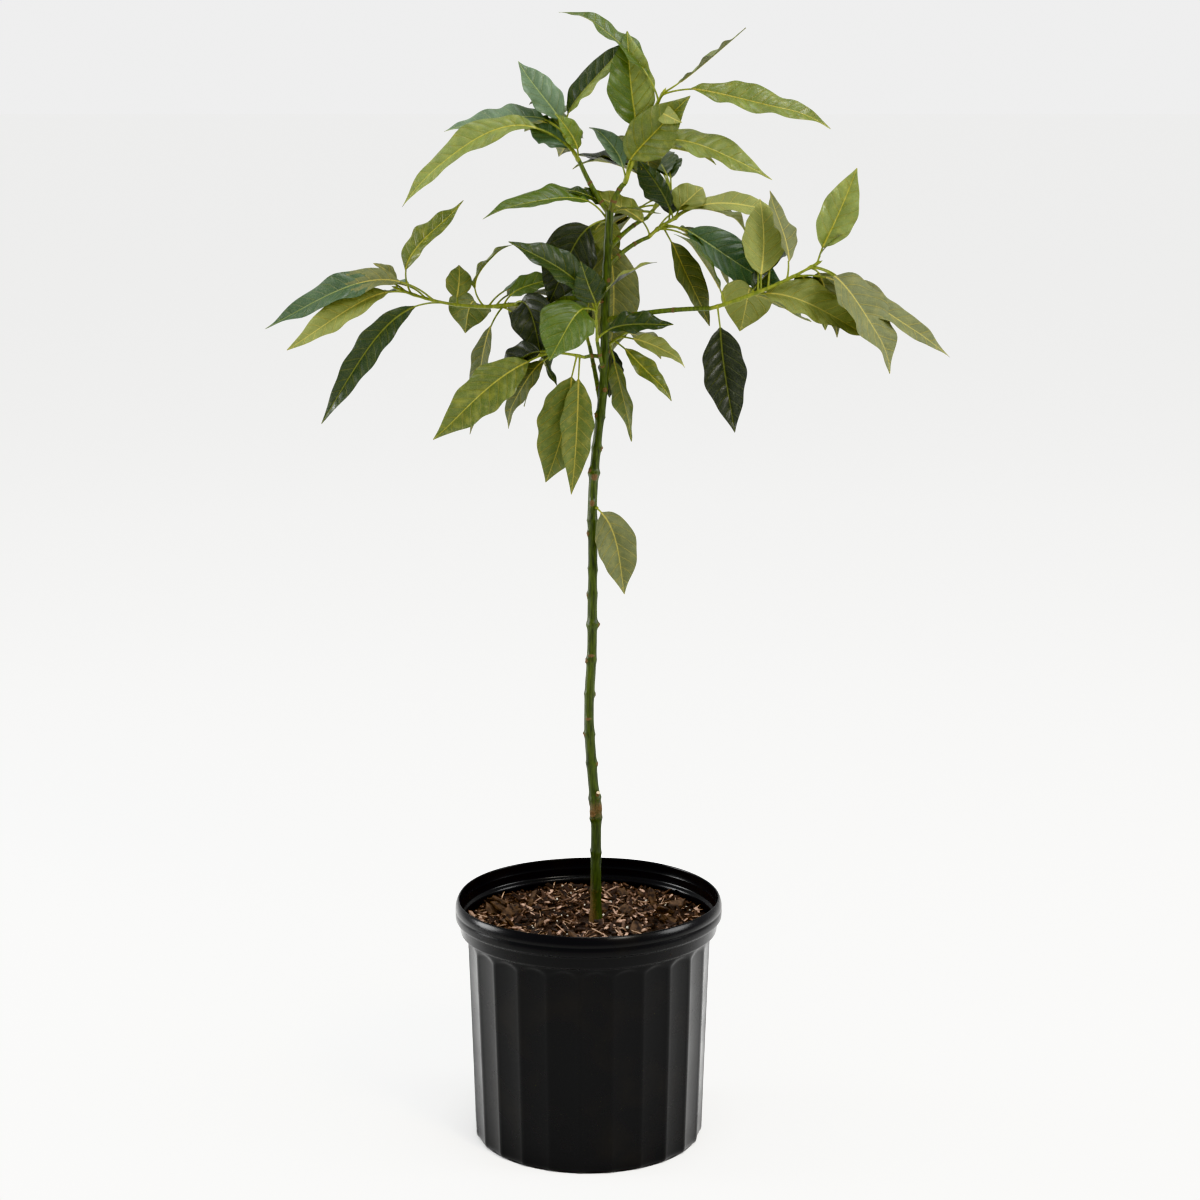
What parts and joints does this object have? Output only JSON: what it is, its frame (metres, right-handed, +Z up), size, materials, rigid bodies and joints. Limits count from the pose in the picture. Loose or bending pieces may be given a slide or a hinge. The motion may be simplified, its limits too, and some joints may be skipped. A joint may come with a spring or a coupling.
{
  "type": "potted avocado tree",
  "caption": "Young avocado tree with a slim grafted trunk and long drooping leaves, standing in a round fluted plastic nursery pot filled with potting mix.",
  "frame": {"origin": "centre of the pot's flat underside", "axes": "+Z up along the pot's axis; -Y towards the front, the side the picture was taken from; +X to the right as seen from the front"},
  "size_m": [0.6863, 0.3829, 1.1779],
  "materials": {
    "pot_plastic": "satin black moulded plastic",
    "potting_mix": "dark bark-based potting mix",
    "bark": "smooth young green bark",
    "green_shoot": "smooth green shoot",
    "leaf": "glossy leaf, paler and matt beneath"
  },
  "bodies": {
    "root": {"pot": "pot_plastic", "potting_mix": "potting_mix", "trunk": "bark", "left_leader": "green_shoot", "right_leader": "green_shoot", "right_upper_bough": "green_shoot", "right_long_bough": "green_shoot", "left_long_bough": "green_shoot", "front_shoot": "green_shoot", "lower_left_shoot": "green_shoot", "back_bough": "green_shoot", "back_right_bough": "green_shoot", "top_left_foliage": "leaf", "top_right_foliage": "leaf", "right_upper_foliage": "leaf", "right_foliage": "leaf", "left_foliage": "leaf", "front_foliage": "leaf", "lower_left_foliage": "leaf", "lower_right_foliage": "leaf", "fork_foliage": "leaf", "back_foliage": "leaf", "back_right_foliage": "leaf", "lower_leaf": "leaf"}
  },
  "joints": []
}
